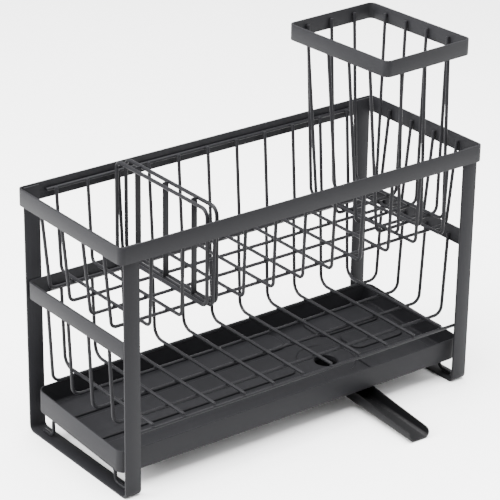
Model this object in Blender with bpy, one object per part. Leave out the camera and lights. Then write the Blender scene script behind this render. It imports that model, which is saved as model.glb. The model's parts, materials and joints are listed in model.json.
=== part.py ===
"""Two-tier dish drying rack of flat steel bar and round wire.

A welded frame carries an upper and a lower wire basket. Four things come off
or move: a sloping drip tray that slides out at the left, a drain spout that
swivels under the tray, a plate divider that stands astride one floor wire,
and a tall cutlery basket. Metres, +Z up, X along the length, the front is -Y.
Everything is drawn about the middle of the frame, and moved at the end so that
the origin is on the ground under the middle of the whole rack.
"""

import bpy
import bmesh
from math import cos, pi, radians, sin, tan
from mathutils import Matrix, Vector

# ---- driving dimensions -------------------------------------------------
FRAME_LENGTH = 0.500          # over the outside of the top rim, along X
FRAME_DEPTH = 0.200           # over the outside of the top rim, along Y
FRAME_HEIGHT = 0.300          # ground to the top of the rim

STRIP_WIDTH = 0.020           # the flat bar that rim, legs and band are made of
STRIP_THICK = 0.0025
LEG_INSET = 0.006             # outer edge of a leg in from the rim's outer face
LEG_DROP = 0.0010             # top of a leg below the top of the rim
RIM_CORNER = 0.007            # outer bend radius of the rim
FOOT_BEND = 0.008             # outer bend radius where a leg turns into the foot bar
BAND_DROP = 0.1115            # top of the rim down to the top of the middle band
BAND_CORNER = 0.008           # outer bend radius of the middle band

WIRE = 0.004                  # basket wire diameter
GAP = 0.0003                  # clearance where two pieces touch

CROSS_COUNT = 11              # front-to-back wires in each tier
CROSS_INSET = 0.045           # first cross wire in from the rim's outer face
LONG_COUNT = 4                # end-to-end wires in each tier
LONG_INSET = 0.040            # first long wire in from the rim's outer face

WIRE_TOP_DROP = 0.0075        # ends of the upper wires below the top of the rim
UPPER_DEPTH = 0.1098          # top of the rim down to the upper tier's long wires
UPPER_TAPER = 0.010           # how far a wire leans in at each end over its height
UPPER_FRONT_TAPER = 0.0035    # the same at the front, where it stands steeper
UPPER_BACK_TAPER = 0.007      # and at the back
UPPER_BEND = 0.007
LOWER_FLOOR = 0.0745          # ground to the lower tier's long wires
LOWER_TOP_DROP = 0.011        # ends of the lower wires below the top of the band
LOWER_TAPER = 0.005
LOWER_BACK_BEND = 0.014
LOWER_END_BEND = 0.011
RAIL_END_GAP = 0.0085         # end of a rail to the side of a leg
MIDDLE_RAIL_LIFT = 0.0025     # underside of the band to the rail behind it

TRAY_END_GAP = 0.002          # tray to the outer edge of a leg, at each end
TRAY_SIDE_GAP = 0.0097        # tray to the inner face of a leg, front and back
TRAY_HEIGHT = 0.028
TRAY_WALL = 0.0015
TRAY_FLOOR = 0.0024
TRAY_CORNER = 0.012
TRAY_SLOPE = radians(2.5)     # the front is the low side
TRAY_FRONT_LIFT = 0.024       # ground to the tray's underside at its front
CHANNEL_DEPTH = 0.0012        # water channels pressed into the floor
CHANNEL_WIDTH = 0.008
CHANNEL_ROUND = 0.0039        # its rounded ends
CHANNEL_END = 0.020           # end of a channel in from the tray's end
CHANNEL_ROWS = (0.037, -0.015)

DRAIN_X = 0.104               # drain hole, on the tray's floor
DRAIN_Y = -0.006
DRAIN_BORE = 0.028
DRAIN_WELL = 0.072            # diameter of the dished ring round the hole
NECK_WALL = 0.0012
NECK_LENGTH = 0.005

SPOUT_OVERHANG = 0.082        # lip past the rim's front face
SPOUT_WIDTH = 0.028
SPOUT_WALL = 0.0016
SPOUT_LIP_HEIGHT = 0.0112
SPOUT_LIP_ROUND = 0.006
SPOUT_GROUND_GAP = 0.001      # lip to the ground
SPOUT_CLEARANCE = 0.0004      # round the neck that it turns on
SPOUT_TURN = radians(-1.2)    # where it is left standing, off the rack's own axis

REST_BEND = 0.007             # tray rest wires
REST_INSET = 0.038            # a riser in from the rim's outer face
REST_FOOT = 0.020             # length of the foot that is welded to the bar

DIVIDER_WIRE = 0.0045
DIVIDER_PITCH = 0.0125        # between the two hoops
DIVIDER_SIDE_GAP = 0.0055     # hoop to the top rails, front and back
DIVIDER_RISE = 0.010          # top of a hoop above the top of the rim
DIVIDER_BEND = 0.010
DIVIDER_SLOT = 3              # the cross wire that it stands astride, from the left
SPACER_THICK = 0.0015
SPACER_COUNT = 3
SPACER_PITCH = 0.053

CUTLERY_LENGTH = 0.130
CUTLERY_DEPTH = 0.167
CUTLERY_HEIGHT = 0.2235       # upper tier's cross wires to the top of its rim
CUTLERY_TURN = radians(2.7)   # where it is left standing, off the rack's own axis
CUTLERY_END_INSET = 0.005     # its rim in from the right-hand end of the rack
CUTLERY_BACK_INSET = 0.00825  # its rim in from the back of the rack
CUTLERY_BAND = 0.0190
CUTLERY_CORNER = 0.008
CUTLERY_ACROSS_PITCH = 0.0347 # wires that run left to right
CUTLERY_ACROSS_COUNT = 4
CUTLERY_ALONG_PITCH = 0.0358  # wires that run front to back
CUTLERY_ALONG_COUNT = 3
CUTLERY_END_TAPER = 0.0125    # how far the left and right sides come in towards the floor
CUTLERY_SIDE_TAPER = 0.003    # the same for the front and back
CUTLERY_FLOOR_SHIFT = (0.0055, -0.003)  # middle of the floor from the middle of the rim
CUTLERY_WIRE_SHIFT = (-0.0025, 0.0025)  # middle wires from the middle of the rim
CUTLERY_BEND = 0.009
CUTLERY_END_DROP = 0.006      # ends of the wires below the top of its rim

# ---- derived ------------------------------------------------------------
HALF_X = FRAME_LENGTH / 2
HALF_Y = FRAME_DEPTH / 2
RADIUS = WIRE / 2
PITCH_UP = WIRE + GAP                            # one wire lying on another
LEG_X = HALF_X - LEG_INSET                       # outer edge of a leg
LEG_Y = HALF_Y - STRIP_THICK - GAP               # outer face of a leg
LEG_INNER_Y = LEG_Y - STRIP_THICK
BAND_Y = LEG_INNER_Y - GAP                       # outer face of the band's back
BAND_TOP = FRAME_HEIGHT - BAND_DROP
RAIL_Y = HALF_Y - STRIP_THICK - GAP - RADIUS     # top rails, inside the rim
RAIL_END = LEG_X - STRIP_WIDTH - RAIL_END_GAP
MIDDLE_RAIL_Y = BAND_Y - STRIP_THICK - GAP - RADIUS
FRONT_RAIL_Y = LEG_INNER_Y - GAP - RADIUS
LONG_TOP_X = HALF_X - STRIP_THICK - GAP - RADIUS
LOWER_TOP_X = LEG_X - STRIP_THICK - GAP - RADIUS
CROSS_PITCH = 2 * (HALF_X - CROSS_INSET) / (CROSS_COUNT - 1)
LONG_PITCH = 2 * (HALF_Y - LONG_INSET) / (LONG_COUNT - 1)
UPPER_FLOOR = FRAME_HEIGHT - UPPER_DEPTH
UPPER_CROSS_FLOOR = UPPER_FLOOR + PITCH_UP
LOWER_CROSS_FLOOR = LOWER_FLOOR + PITCH_UP
WIRE_TOP = FRAME_HEIGHT - WIRE_TOP_DROP
LOWER_TOP = BAND_TOP - LOWER_TOP_DROP
TRAY_LENGTH = 2 * (LEG_X - TRAY_END_GAP)
TRAY_DEPTH = 2 * (LEG_INNER_Y - TRAY_SIDE_GAP)
TRAY_RISE = TRAY_FRONT_LIFT + TRAY_DEPTH / 2 * sin(TRAY_SLOPE)
SPOUT_REACH = HALF_Y + DRAIN_Y + SPOUT_OVERHANG  # swivel axis to the lip
LIP_Y = DRAIN_Y - SPOUT_REACH                    # along the tray's slope
SPOUT_DROP = (TRAY_RISE + LIP_Y * sin(TRAY_SLOPE) - SPOUT_GROUND_GAP) / cos(TRAY_SLOPE)
SPOUT_FALL = SPOUT_DROP - SPOUT_LIP_HEIGHT       # the side walls come down by this
REST_Y = HALF_Y - REST_INSET
DIVIDER_TOP = FRAME_HEIGHT + DIVIDER_RISE
DIVIDER_DEPTH = 2 * (RAIL_Y - RADIUS - DIVIDER_SIDE_GAP)
CUTLERY_X = HALF_X - CUTLERY_END_INSET - CUTLERY_LENGTH / 2
CUTLERY_Y = HALF_Y - CUTLERY_BACK_INSET - CUTLERY_DEPTH / 2
CUTLERY_TOP = UPPER_CROSS_FLOOR + RADIUS + CUTLERY_HEIGHT
FRONT_REACH = -LIP_Y * cos(TRAY_SLOPE) - (SPOUT_FALL + SPOUT_LIP_ROUND) * sin(TRAY_SLOPE)
ORIGIN_SHIFT = (FRONT_REACH - HALF_Y) / 2        # middle of the rack's whole depth


# ---- scene and materials ------------------------------------------------
def clear_scene():
    """Remove what the scene holds, so that only the rack is in it."""
    for item in list(bpy.data.objects):
        bpy.data.objects.remove(item, do_unlink=True)


def new_collection(name):
    collection = bpy.data.collections.new(name)
    bpy.context.scene.collection.children.link(collection)
    return collection


def coated_metal(name, shade, roughness):
    """A powder-coated surface: a dark coat, not bare metal."""
    material = bpy.data.materials.new(name)
    material.use_nodes = True
    shader = material.node_tree.nodes["Principled BSDF"]
    shader.inputs["Base Color"].default_value = (shade, shade, shade, 1.0)
    shader.inputs["Roughness"].default_value = roughness
    shader.inputs["Metallic"].default_value = 0.0
    return material


clear_scene()
rack = new_collection("dish_drying_rack")
cutters = new_collection("cutters")
strip_coat = coated_metal("coated_steel_strip", 0.045, 0.45)
wire_coat = coated_metal("coated_steel_wire", 0.040, 0.42)
tray_coat = coated_metal("coated_steel_tray", 0.045, 0.55)
spout_plastic = coated_metal("moulded_black_plastic", 0.030, 0.50)


# ---- drawing helpers ----------------------------------------------------
def rounded(points, radius, closed=False, steps=4):
    """A polyline with each corner replaced by an arc of the given radius."""
    count = len(points)
    result = []
    for index, corner in enumerate(points):
        corner = Vector(corner)
        if not closed and index in (0, count - 1):
            result.append(corner)
            continue
        back = (Vector(points[index - 1]) - corner).normalized()
        ahead = (Vector(points[(index + 1) % count]) - corner).normalized()
        half = back.angle(ahead) / 2
        reach = radius / tan(half)
        centre = corner + (back + ahead).normalized() * (radius / sin(half))
        start = corner + back * reach - centre
        end = corner + ahead * reach - centre
        sweep = start.angle(end)
        for step in range(steps + 1):
            part = step / steps
            arm = start * sin((1 - part) * sweep) + end * sin(part * sweep)
            result.append(centre + arm / sin(sweep))
    return result


def add_object(name, data, material, collection=None):
    item = bpy.data.objects.new(name, data)
    (collection or rack).objects.link(item)
    if material is not None:
        data.materials.append(material)
    return item


def fill_spline(curve, points, closed):
    spline = curve.splines.new("POLY")
    spline.points.add(len(points) - 1)
    for slot, point in zip(spline.points, points):
        slot.co = (point[0], point[1], point[2] if len(point) > 2 else 0.0, 1.0)
    spline.use_cyclic_u = closed


def wire(name, points, diameter=WIRE, closed=False, material=None):
    """Round wire along a list of points, in world coordinates."""
    curve = bpy.data.curves.new(name, "CURVE")
    curve.dimensions = "3D"
    curve.bevel_depth = diameter / 2
    curve.bevel_resolution = 2
    curve.use_fill_caps = not closed
    fill_spline(curve, points, closed)
    return add_object(name, curve, material or wire_coat)


def plate(name, outlines, thickness, material, collection=None):
    """A flat piece: closed outlines in its own XY plane, thickness centred on it."""
    curve = bpy.data.curves.new(name, "CURVE")
    curve.dimensions = "2D"
    curve.fill_mode = "BOTH"
    curve.extrude = thickness / 2
    for outline in outlines:
        fill_spline(curve, outline, True)
    return add_object(name, curve, material, collection)


def rectangle(length, depth, corner, steps=4):
    """A rounded rectangle about the origin of the XY plane."""
    a, b = length / 2, depth / 2
    corners = [(-a, -b), (a, -b), (a, b), (-a, b)]
    return rounded([Vector(p).to_3d() for p in corners], corner, closed=True, steps=steps)


def strip_outline(path, thickness, bend, steps=5):
    """The outline of a strip bent along a path, which is the strip's outer face.

    The path turns one way only, and its inner side is on its left.
    """
    inner = []
    for index, point in enumerate(path):
        point = Vector(point)
        before = Vector(path[index - 1]) if index else None
        after = Vector(path[index + 1]) if index + 1 < len(path) else None
        sides = []
        if before is not None:
            sides.append((point - before).normalized())
        if after is not None:
            sides.append((after - point).normalized())
        shift = Vector((0.0, 0.0, 0.0))
        for side in sides:
            shift += Vector((-side.y, side.x, 0.0))
        inner.append(point + shift * thickness)
        if len(sides) == 1:
            inner[-1] = point + shift.normalized() * thickness
    outer_line = rounded(path, bend, steps=steps)
    inner_line = rounded(inner, bend - thickness, steps=steps)
    return outer_line + inner_line[::-1]


def set_coat(item, material):
    """Give a cut piece its one material, which its cutters left without a slot."""
    item.data.materials.clear()
    item.data.materials.append(material)


def to_mesh(item):
    """Turn a curve object into a mesh object with welded caps."""
    graph = bpy.context.evaluated_depsgraph_get()
    data = bpy.data.meshes.new_from_object(item.evaluated_get(graph))
    shape = bmesh.new()
    shape.from_mesh(data)
    bmesh.ops.remove_doubles(shape, verts=shape.verts, dist=0.00001)
    shape.to_mesh(data)
    shape.free()
    name, place, owners = item.name, item.matrix_world.copy(), list(item.users_collection)
    bpy.data.objects.remove(item, do_unlink=True)
    solid = bpy.data.objects.new(name, data)
    solid.matrix_world = place
    for owner in owners:
        owner.objects.link(solid)
    return solid


def combine(target, tool, operation):
    """Boolean with the exact solver; the tool stays behind as a hidden guide."""
    step = target.modifiers.new(operation.lower(), "BOOLEAN")
    step.operation = operation
    step.solver = "EXACT"
    step.object = tool
    tool.hide_render = True
    tool.display_type = "WIRE"


def cylinder(name, diameter, low, high, place, sides=40):
    """A cylinder cutter or guide standing between two heights."""
    shape = bmesh.new()
    bmesh.ops.create_cone(shape, cap_ends=True, segments=sides, radius1=diameter / 2,
                          radius2=diameter / 2, depth=high - low)
    bmesh.ops.translate(shape, verts=shape.verts, vec=(place[0], place[1], (low + high) / 2))
    data = bpy.data.meshes.new(name)
    shape.to_mesh(data)
    shape.free()
    return add_object(name, data, None, cutters)


def spread(count, pitch):
    """Evenly spaced places about zero."""
    return [(index - (count - 1) / 2) * pitch for index in range(count)]


# ---- frame --------------------------------------------------------------
def end_frame(name, side):
    """Two legs and a foot bar, one strip bent into a U."""
    top = FRAME_HEIGHT - LEG_DROP
    path = [Vector(p).to_3d() for p in ((-LEG_Y, top), (-LEG_Y, 0.0), (LEG_Y, 0.0), (LEG_Y, top))]
    frame = plate(name, [strip_outline(path, STRIP_THICK, FOOT_BEND)], STRIP_WIDTH, strip_coat)
    middle = side * (LEG_X - STRIP_WIDTH / 2)
    frame.matrix_world = Matrix(((0, 0, 1, middle), (1, 0, 0, 0), (0, 1, 0, 0), (0, 0, 0, 1)))


def top_rim():
    """A closed band round the outside of the four legs."""
    outer = rectangle(FRAME_LENGTH, FRAME_DEPTH, RIM_CORNER)
    inner = rectangle(FRAME_LENGTH - 2 * STRIP_THICK, FRAME_DEPTH - 2 * STRIP_THICK,
                      RIM_CORNER - STRIP_THICK)
    rim = plate("top_rim", [outer, inner], STRIP_WIDTH, strip_coat)
    rim.location.z = FRAME_HEIGHT - STRIP_WIDTH / 2


def middle_band():
    """A band inside the legs, open at the front."""
    front = -(LEG_INNER_Y - GAP)
    path = [Vector(p).to_3d() for p in ((LEG_X, front), (LEG_X, BAND_Y), (-LEG_X, BAND_Y), (-LEG_X, front))]
    band = plate("middle_band", [strip_outline(path, STRIP_THICK, BAND_CORNER)], STRIP_WIDTH, strip_coat)
    band.location.z = BAND_TOP - STRIP_WIDTH / 2


def rails():
    """Straight wires that the basket wires are welded to."""
    top = WIRE_TOP - RADIUS
    wire("top_rail_back", [(-RAIL_END, RAIL_Y, top), (RAIL_END, RAIL_Y, top)])
    wire("top_rail_front", [(-RAIL_END, -RAIL_Y, top), (RAIL_END, -RAIL_Y, top)])
    middle = BAND_TOP - STRIP_WIDTH + MIDDLE_RAIL_LIFT + RADIUS
    wire("middle_rail_back", [(-RAIL_END, MIDDLE_RAIL_Y, middle), (RAIL_END, MIDDLE_RAIL_Y, middle)])
    reach = LEG_X - STRIP_WIDTH / 2
    wire("front_rail", [(-reach, -FRONT_RAIL_Y, LOWER_FLOOR), (reach, -FRONT_RAIL_Y, LOWER_FLOOR)])


# ---- baskets ------------------------------------------------------------
def upper_basket():
    """Eleven wires front to back on four wires end to end, all bent into a U."""
    top_y = RAIL_Y - PITCH_UP
    front, back = UPPER_FRONT_TAPER - top_y, top_y - UPPER_BACK_TAPER
    for index, x in enumerate(spread(CROSS_COUNT, CROSS_PITCH), 1):
        corners = [(x, -top_y, WIRE_TOP), (x, front, UPPER_CROSS_FLOOR),
                   (x, back, UPPER_CROSS_FLOOR), (x, top_y, WIRE_TOP)]
        wire("upper_cross_wire_%02d" % index, rounded(corners, UPPER_BEND))
    low_x = LONG_TOP_X - UPPER_TAPER
    for index, y in enumerate(spread(LONG_COUNT, LONG_PITCH), 1):
        corners = [(-LONG_TOP_X, y, WIRE_TOP), (-low_x, y, UPPER_FLOOR),
                   (low_x, y, UPPER_FLOOR), (LONG_TOP_X, y, WIRE_TOP)]
        wire("upper_long_wire_%d" % index, rounded(corners, UPPER_BEND))


def lower_basket():
    """The same grid, with the front left open: the cross wires end on the front rail."""
    top_y = MIDDLE_RAIL_Y - PITCH_UP
    low_y = top_y - LOWER_TAPER
    for index, x in enumerate(spread(CROSS_COUNT, CROSS_PITCH), 1):
        corners = [(x, -FRONT_RAIL_Y, LOWER_CROSS_FLOOR), (x, low_y, LOWER_CROSS_FLOOR),
                   (x, top_y, LOWER_TOP)]
        wire("lower_cross_wire_%02d" % index, rounded(corners, LOWER_BACK_BEND))
    low_x = LOWER_TOP_X - LOWER_TAPER
    for index, y in enumerate(spread(LONG_COUNT, LONG_PITCH), 1):
        corners = [(-LOWER_TOP_X, y, LOWER_TOP), (-low_x, y, LOWER_FLOOR),
                   (low_x, y, LOWER_FLOOR), (LOWER_TOP_X, y, LOWER_TOP)]
        wire("lower_long_wire_%d" % index, rounded(corners, LOWER_END_BEND))


# ---- drip tray and spout ------------------------------------------------
def tray_frame():
    """An empty under the middle of the tray; its XY plane is the tray's underside."""
    empty = bpy.data.objects.new("tray_place", None)
    rack.objects.link(empty)
    empty.matrix_world = Matrix.Translation((0, 0, TRAY_RISE)) @ Matrix.Rotation(TRAY_SLOPE, 4, "X")
    return empty


def tray_underside(y):
    """Height of the tray's underside at a distance from the middle of the frame."""
    return TRAY_RISE + y * tan(TRAY_SLOPE)


def solid_plate(name, outline, low, high, place=(0, 0)):
    """A flat cutter or blank between two heights, as a mesh."""
    curve = plate(name, [outline], high - low, None, cutters)
    curve.location = (place[0], place[1], (low + high) / 2)
    bpy.context.view_layer.update()
    return to_mesh(curve)


def channel(name, x_from, x_to, y):
    """A cutter for one pressed channel with round ends."""
    outline = rectangle(x_to - x_from, CHANNEL_WIDTH, CHANNEL_ROUND)
    place = ((x_from + x_to) / 2, y)
    return solid_plate(name, outline, TRAY_FLOOR - CHANNEL_DEPTH, TRAY_FLOOR + CHANNEL_DEPTH, place)


def drip_tray(place):
    """A shallow pan with pressed channels, a dished ring and a drawn neck at the drain."""
    outline = rectangle(TRAY_LENGTH, TRAY_DEPTH, TRAY_CORNER)
    inner = rectangle(TRAY_LENGTH - 2 * TRAY_WALL, TRAY_DEPTH - 2 * TRAY_WALL, TRAY_CORNER - TRAY_WALL)
    body = solid_plate("drip_tray", outline, 0.0, TRAY_HEIGHT)
    combine(body, solid_plate("tray_hollow", inner, TRAY_FLOOR, 2 * TRAY_HEIGHT), "DIFFERENCE")
    end = TRAY_LENGTH / 2 - CHANNEL_END
    well = DRAIN_WELL / 2 + CHANNEL_WIDTH
    for index, y in enumerate(CHANNEL_ROWS, 1):
        combine(body, channel("channel_left_%d" % index, -end, DRAIN_X - well, y), "DIFFERENCE")
        combine(body, channel("channel_right_%d" % index, DRAIN_X + well, end, y), "DIFFERENCE")
    middle = (DRAIN_X, DRAIN_Y)
    floor = TRAY_FLOOR - CHANNEL_DEPTH
    combine(body, cylinder("drain_well", DRAIN_WELL, floor, 2 * TRAY_FLOOR, middle), "DIFFERENCE")
    outside = DRAIN_BORE + 2 * NECK_WALL
    combine(body, cylinder("drain_neck", outside, -NECK_LENGTH, floor / 2, middle), "UNION")
    bore = cylinder("drain_bore", DRAIN_BORE, -2 * NECK_LENGTH, TRAY_HEIGHT, middle)
    combine(body, bore, "DIFFERENCE")
    for cutter in list(cutters.objects):
        cutter.parent = place
    rack.objects.link(body)
    cutters.objects.unlink(body)
    set_coat(body, tray_coat)


def spout_outline(reach, half, steps=16):
    """Seen from above: a half circle round the axis, then straight sides to the lip."""
    arc = [Vector((half * cos(pi * k / steps), half * sin(pi * k / steps), 0.0)) for k in range(steps + 1)]
    return arc + [Vector((-half, -reach, 0.0)), Vector((half, -reach, 0.0))]


def spout_lip_cut(start, width):
    """A cutter that slopes the side walls down to the lip and trims its end."""
    top = SPOUT_DROP
    profile = [(start, 0.0), (SPOUT_REACH, -SPOUT_FALL), (SPOUT_REACH, -2 * top)]
    profile = rounded([Vector(p).to_3d() for p in profile], SPOUT_LIP_ROUND, steps=6)
    beyond = 2 * SPOUT_REACH
    profile += [Vector((beyond, -2 * top, 0)), Vector((beyond, top, 0)), Vector((start, top, 0))]
    wedge = plate("spout_lip_cut", [profile], width, None, cutters)
    wedge.matrix_world = Matrix(((0, 0, 1, 0), (-1, 0, 0, 0), (0, 1, 0, 0), (0, 0, 0, 1)))
    bpy.context.view_layer.update()
    return to_mesh(wedge)


def drain_spout(place):
    """An open channel that hangs on the drain neck and turns on it."""
    axis = bpy.data.objects.new("spout_axis", None)
    rack.objects.link(axis)
    axis.parent = place
    axis.location = (DRAIN_X, DRAIN_Y, 0.0)
    axis.rotation_euler.z = SPOUT_TURN
    before = set(cutters.objects)
    half = SPOUT_WIDTH / 2
    socket = DRAIN_BORE / 2 + NECK_WALL + SPOUT_CLEARANCE
    cup = socket + SPOUT_WALL
    floor = -SPOUT_DROP + SPOUT_WALL
    shell = solid_plate("drain_spout", spout_outline(SPOUT_REACH + SPOUT_WALL, half), -SPOUT_DROP, -GAP)
    hollow = solid_plate("spout_hollow", spout_outline(2 * SPOUT_REACH, half - SPOUT_WALL), floor, SPOUT_DROP)
    combine(shell, cylinder("spout_cup", 2 * cup, -SPOUT_DROP, -GAP, (0, 0), 48), "UNION")
    combine(shell, cylinder("spout_socket", 2 * socket, floor, SPOUT_DROP, (0, 0), 48), "DIFFERENCE")
    combine(shell, hollow, "DIFFERENCE")
    combine(shell, spout_lip_cut(cup + SPOUT_LIP_ROUND, 3 * SPOUT_WIDTH), "DIFFERENCE")
    for item in set(cutters.objects) - before:
        item.parent = axis
    rack.objects.link(shell)
    cutters.objects.unlink(shell)
    set_coat(shell, spout_plastic)


def tray_rests():
    """One wire at each end: welded feet, two risers and a run that the tray lies on."""
    foot = STRIP_THICK + GAP + RADIUS
    drop = (GAP + RADIUS) / cos(TRAY_SLOPE)
    for name, side in (("tray_rest_left", -1), ("tray_rest_right", 1)):
        x = side * (LEG_X - STRIP_WIDTH / 2)
        corners = [(x, -REST_Y - REST_FOOT, foot), (x, -REST_Y, foot),
                   (x, -REST_Y, tray_underside(-REST_Y) - drop), (x, REST_Y, tray_underside(REST_Y) - drop),
                   (x, REST_Y, foot), (x, REST_Y + REST_FOOT, foot)]
        wire(name, rounded(corners, REST_BEND, steps=3))


# ---- plate divider ------------------------------------------------------
def plate_divider():
    """Two closed hoops joined by three flat spacers, astride one cross wire."""
    middle = spread(CROSS_COUNT, CROSS_PITCH)[DIVIDER_SLOT - 1]
    half = DIVIDER_DEPTH / 2 - DIVIDER_WIRE / 2
    low = UPPER_FLOOR + RADIUS + GAP + DIVIDER_WIRE / 2
    high = DIVIDER_TOP - DIVIDER_WIRE / 2
    for name, side in (("divider_hoop_left", -1), ("divider_hoop_right", 1)):
        x = middle + side * DIVIDER_PITCH / 2
        corners = [(x, -half, low), (x, half, low), (x, half, high), (x, -half, high)]
        wire(name, rounded(corners, DIVIDER_BEND, closed=True), DIVIDER_WIRE, closed=True)
    width = DIVIDER_PITCH - DIVIDER_WIRE - 2 * GAP
    bottom = UPPER_CROSS_FLOOR + RADIUS + GAP
    a, b = width / 2, SPACER_THICK / 2
    for index, y in enumerate(spread(SPACER_COUNT, SPACER_PITCH), 1):
        outline = [(-a, -b), (a, -b), (a, b), (-a, b)]
        bar = plate("divider_spacer_%d" % index, [outline], DIVIDER_TOP - bottom, wire_coat)
        bar.location = (middle, y, (DIVIDER_TOP + bottom) / 2)


# ---- cutlery basket -----------------------------------------------------
def cutlery_wire(name, corners):
    """A bent wire of the cutlery basket, given about the basket's own middle."""
    place = Matrix.Translation((CUTLERY_X, CUTLERY_Y, 0)) @ Matrix.Rotation(CUTLERY_TURN, 4, "Z")
    wire(name, [place @ point for point in rounded(corners, CUTLERY_BEND)])


def cutlery_rim():
    """The flat band round the top of the cutlery basket."""
    outer = rectangle(CUTLERY_LENGTH, CUTLERY_DEPTH, CUTLERY_CORNER)
    inner = rectangle(CUTLERY_LENGTH - 2 * STRIP_THICK, CUTLERY_DEPTH - 2 * STRIP_THICK,
                      CUTLERY_CORNER - STRIP_THICK)
    rim = plate("cutlery_rim", [outer, inner], CUTLERY_BAND, strip_coat)
    rim.location = (CUTLERY_X, CUTLERY_Y, CUTLERY_TOP - CUTLERY_BAND / 2)
    rim.rotation_euler.z = CUTLERY_TURN


def cutlery_basket():
    """A flat rim with tapering U wires below it, standing on the upper tier's cross wires."""
    cutlery_rim()
    top = CUTLERY_TOP - CUTLERY_END_DROP
    across_floor = UPPER_CROSS_FLOOR + PITCH_UP
    along_floor = across_floor + PITCH_UP
    inset = STRIP_THICK + GAP + RADIUS
    wide = CUTLERY_LENGTH / 2 - inset
    deep = CUTLERY_DEPTH / 2 - inset
    low_wide, low_deep = wide - CUTLERY_END_TAPER, deep - CUTLERY_SIDE_TAPER
    over_x, over_y = CUTLERY_FLOOR_SHIFT
    from_x, from_y = CUTLERY_WIRE_SHIFT
    for index, place in enumerate(spread(CUTLERY_ACROSS_COUNT, CUTLERY_ACROSS_PITCH), 1):
        y = place + from_y
        corners = [(-wide, y, top), (over_x - low_wide, y + over_y, across_floor),
                   (over_x + low_wide, y + over_y, across_floor), (wide, y, top)]
        cutlery_wire("cutlery_across_wire_%d" % index, corners)
    for index, place in enumerate(spread(CUTLERY_ALONG_COUNT, CUTLERY_ALONG_PITCH), 1):
        x = place + from_x
        corners = [(x, -deep, top), (x + over_x, over_y - low_deep, along_floor),
                   (x + over_x, over_y + low_deep, along_floor), (x, deep, top)]
        cutlery_wire("cutlery_along_wire_%d" % index, corners)


def centre_on_ground():
    """Bring the origin under the middle of the whole rack, its spout included."""
    for item in bpy.data.objects:
        if item.parent is None:
            item.location.y += ORIGIN_SHIFT


end_frame("end_frame_left", -1)
end_frame("end_frame_right", 1)
top_rim()
middle_band()
rails()
upper_basket()
lower_basket()
tray_place = tray_frame()
drip_tray(tray_place)
drain_spout(tray_place)
tray_rests()
plate_divider()
cutlery_basket()
centre_on_ground()
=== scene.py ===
"""Slim two-tier dish drying rack in charcoal powder-coated steel.

Each piece of the rack is modelled again at full finish round the loaded frame:
round wires with true bends, flat bar with rolled edges, a pressed drip tray, a
moulded spout, a plate divider and a cutlery basket. Laid out as an add-on, with
one operator for each group of pieces and one for the stage.
"""

import json
from math import atan2, cos, radians, sin, tan

import bmesh
import bpy
from bpy.props import FloatProperty, FloatVectorProperty, IntProperty, PointerProperty
from mathutils import Matrix, Vector


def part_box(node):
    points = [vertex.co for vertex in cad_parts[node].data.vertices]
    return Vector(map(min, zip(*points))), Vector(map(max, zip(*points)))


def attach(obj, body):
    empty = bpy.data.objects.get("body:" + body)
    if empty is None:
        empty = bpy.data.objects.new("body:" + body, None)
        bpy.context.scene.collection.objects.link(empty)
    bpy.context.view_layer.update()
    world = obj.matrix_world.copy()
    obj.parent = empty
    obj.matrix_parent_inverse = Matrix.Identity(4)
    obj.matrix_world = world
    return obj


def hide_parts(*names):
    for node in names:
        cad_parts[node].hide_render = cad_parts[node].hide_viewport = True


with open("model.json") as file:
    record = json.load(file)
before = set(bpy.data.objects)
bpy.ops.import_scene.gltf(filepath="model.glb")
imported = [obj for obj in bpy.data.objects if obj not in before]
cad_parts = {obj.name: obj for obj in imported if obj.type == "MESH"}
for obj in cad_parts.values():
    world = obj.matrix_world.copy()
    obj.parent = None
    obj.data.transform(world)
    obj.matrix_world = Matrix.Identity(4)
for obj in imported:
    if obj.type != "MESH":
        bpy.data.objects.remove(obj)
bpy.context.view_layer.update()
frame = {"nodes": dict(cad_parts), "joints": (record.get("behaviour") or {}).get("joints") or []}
bpy.ops.object.select_all(action="DESELECT")

bl_info = {
    "name": "Dish Drying Rack",
    "version": (1, 0, 0),
    "blender": (4, 5, 0),
    "location": "View3D > Sidebar > Dish Rack",
    "description": "Models a two-tier dish drying rack with its tray, spout, divider and cutlery basket",
    "category": "Object",
}

MM = 0.001
CLEARANCE = 0.3 * MM  # between two pieces that touch
NEAR = 0.01 * MM  # places this close are the same
FACING = 0.9  # a face looks along an axis if this much of its normal does


def linear(code):
    """A linear colour from an sRGB hex value."""
    parts = [int(code[i:i + 2], 16) / 255 for i in (1, 3, 5)]
    return [p / 12.92 if p <= 0.04045 else ((p + 0.055) / 1.055) ** 2.4 for p in parts]


# ---- settings -----------------------------------------------------------
def length(name, text, default, **limits):
    """A size property, shown in the scene's own unit of length."""
    return FloatProperty(name=name, description=text, default=default, unit="LENGTH", precision=5,
                         min=0.0, **limits)


def colour(name, text, code):
    """A surface colour property."""
    return FloatVectorProperty(name=name, description=text, default=linear(code), subtype="COLOR",
                               size=3, min=0.0, max=1.0)


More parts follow.
